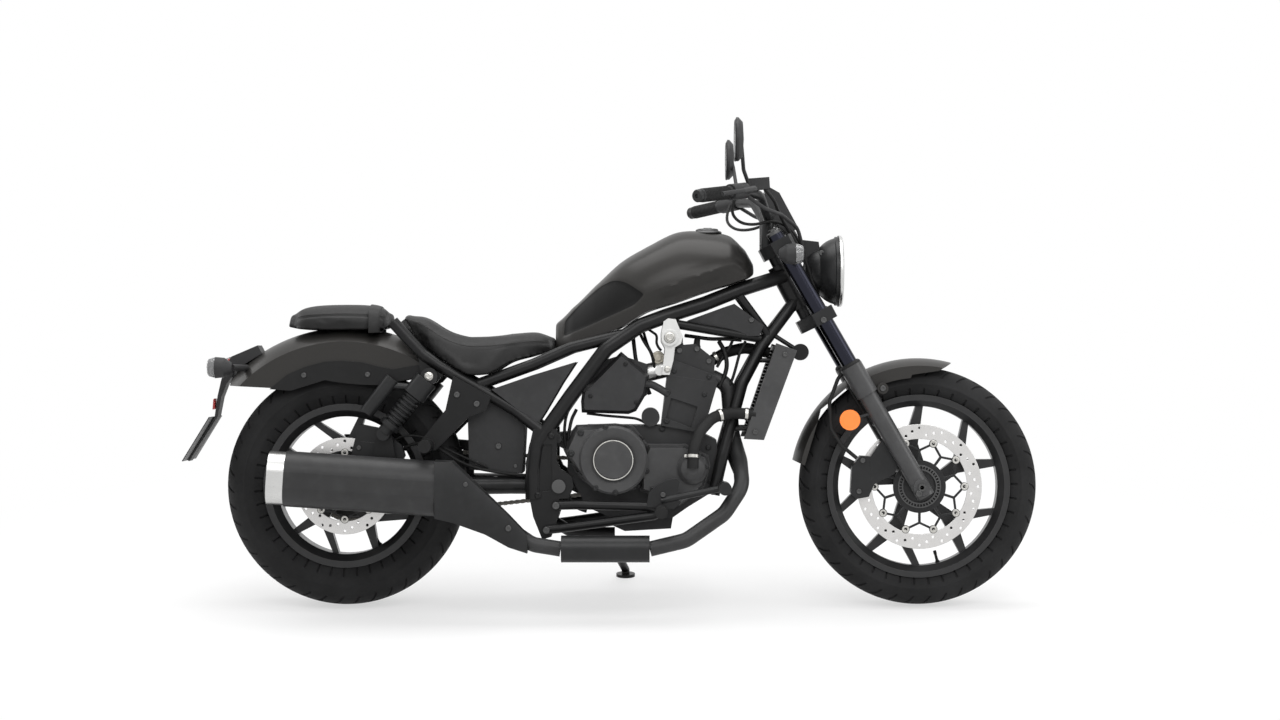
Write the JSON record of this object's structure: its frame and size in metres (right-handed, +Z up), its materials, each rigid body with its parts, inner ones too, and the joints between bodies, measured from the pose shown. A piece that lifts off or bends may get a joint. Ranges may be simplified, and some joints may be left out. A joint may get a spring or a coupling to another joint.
{
  "type": "cruiser motorcycle",
  "caption": "A cruiser motorcycle with a liquid-cooled twin-cylinder engine, cast wheels, two seats and one silencer, parked on its side stand.",
  "frame": {"origin": "centre of the bounding box, on the ground", "axes": "+X forward, +Y to the rider's left, +Z up; the machine leans to its left on the side stand"},
  "size_m": [2.262, 0.8788, 1.3163],
  "materials": {
    "aluminium": "satin",
    "amber_lens": "glossy",
    "body_paint": "matt metallic",
    "engine_black": "semi-gloss",
    "exhaust_black": "satin",
    "fork_dark": "polished",
    "frame_black": "satin",
    "glass": "clear",
    "lamp": "glossy",
    "leather": "grained",
    "plastic": "matt",
    "plate": "semi-gloss",
    "rubber": "matt",
    "satin_black": "satin",
    "steel": "brushed",
    "tyre": "matt",
    "wheel_black": "satin"
  },
  "bodies": {
    "chassis": {"frame": "frame_black", "crankcase": "engine_black", "cylinder_block": "engine_black", "cylinder_head": "engine_black", "engine_hangers": "aluminium", "right_engine_cover": "engine_black", "left_engine_cover": "engine_black", "air_cleaner_covers": "plastic", "throttle_bodies": "aluminium", "radiator": "engine_black", "radiator_covers": "plastic", "coolant_hoses": "rubber", "rear_fender": "body_paint", "fuel_tank": "body_paint", "fuel_filler_cap": "satin_black", "passenger_seat": "leather", "rider_seat": "leather", "side_covers": "plastic", "electrics_box": "plastic", "fender_stays": "frame_black", "passenger_pegs": "satin_black", "plate_bracket": "plastic", "number_plate": "plate", "rear_lamps": "lamp", "rear_axle_and_pivot_bolt": "steel", "swing_arm": "frame_black", "rear_shocks": "engine_black", "rear_brake_caliper": "engine_black", "drive_chain": "steel", "exhaust_shield": "exhaust_black", "exhaust_pipes": "exhaust_black", "muffler": "exhaust_black", "muffler_end": "aluminium", "footpegs": "rubber", "foot_levers": "satin_black", "footpeg_brackets": "frame_black"},
    "steering": {"front_axle": "steel", "fork_sliders": "engine_black", "fork_tubes": "fork_dark", "fork_yokes": "satin_black", "handlebar": "satin_black", "grips": "rubber", "headlight": "satin_black", "headlight_lens": "glass", "instrument": "satin_black", "front_fender": "body_paint", "front_brake_caliper": "engine_black", "brake_hose": "rubber", "front_indicators": "lamp", "mirrors": "satin_black", "hand_controls": "engine_black", "reflectors": "amber_lens"},
    "front_wheel": {"front_tyre": "tyre", "front_wheel": "wheel_black", "front_brake_disc": "steel"},
    "rear_wheel": {"rear_tyre": "tyre", "rear_wheel": "wheel_black", "rear_brake_disc": "steel", "rear_sprocket": "steel"},
    "side_stand": {"side_stand": "frame_black"}
  },
  "joints": [
    {"name": "steering_turn", "type": "hinge", "parent": "chassis", "child": "steering", "pos_m": [0.50495, -0.05311, 0.7828], "axis": [-0.4695, 0.1457, 0.8708], "range_deg": [-32, 32]},
    {"name": "front_wheel_spin", "type": "hinge", "parent": "steering", "child": "front_wheel", "pos_m": [0.815, -0.13134, 0.3153], "axis": [0, 0.9863, -0.165], "continuous": true},
    {"name": "rear_wheel_spin", "type": "hinge", "parent": "chassis", "child": "rear_wheel", "pos_m": [-0.705, -0.13101, 0.31727], "axis": [0, 0.9863, -0.165], "continuous": true},
    {"name": "side_stand_fold", "type": "hinge", "parent": "chassis", "child": "side_stand", "pos_m": [-0.015, 0.00072, 0.14719], "axis": [0.1295, 0.6503, 0.7485], "range_deg": [0, 86.7]}
  ]
}
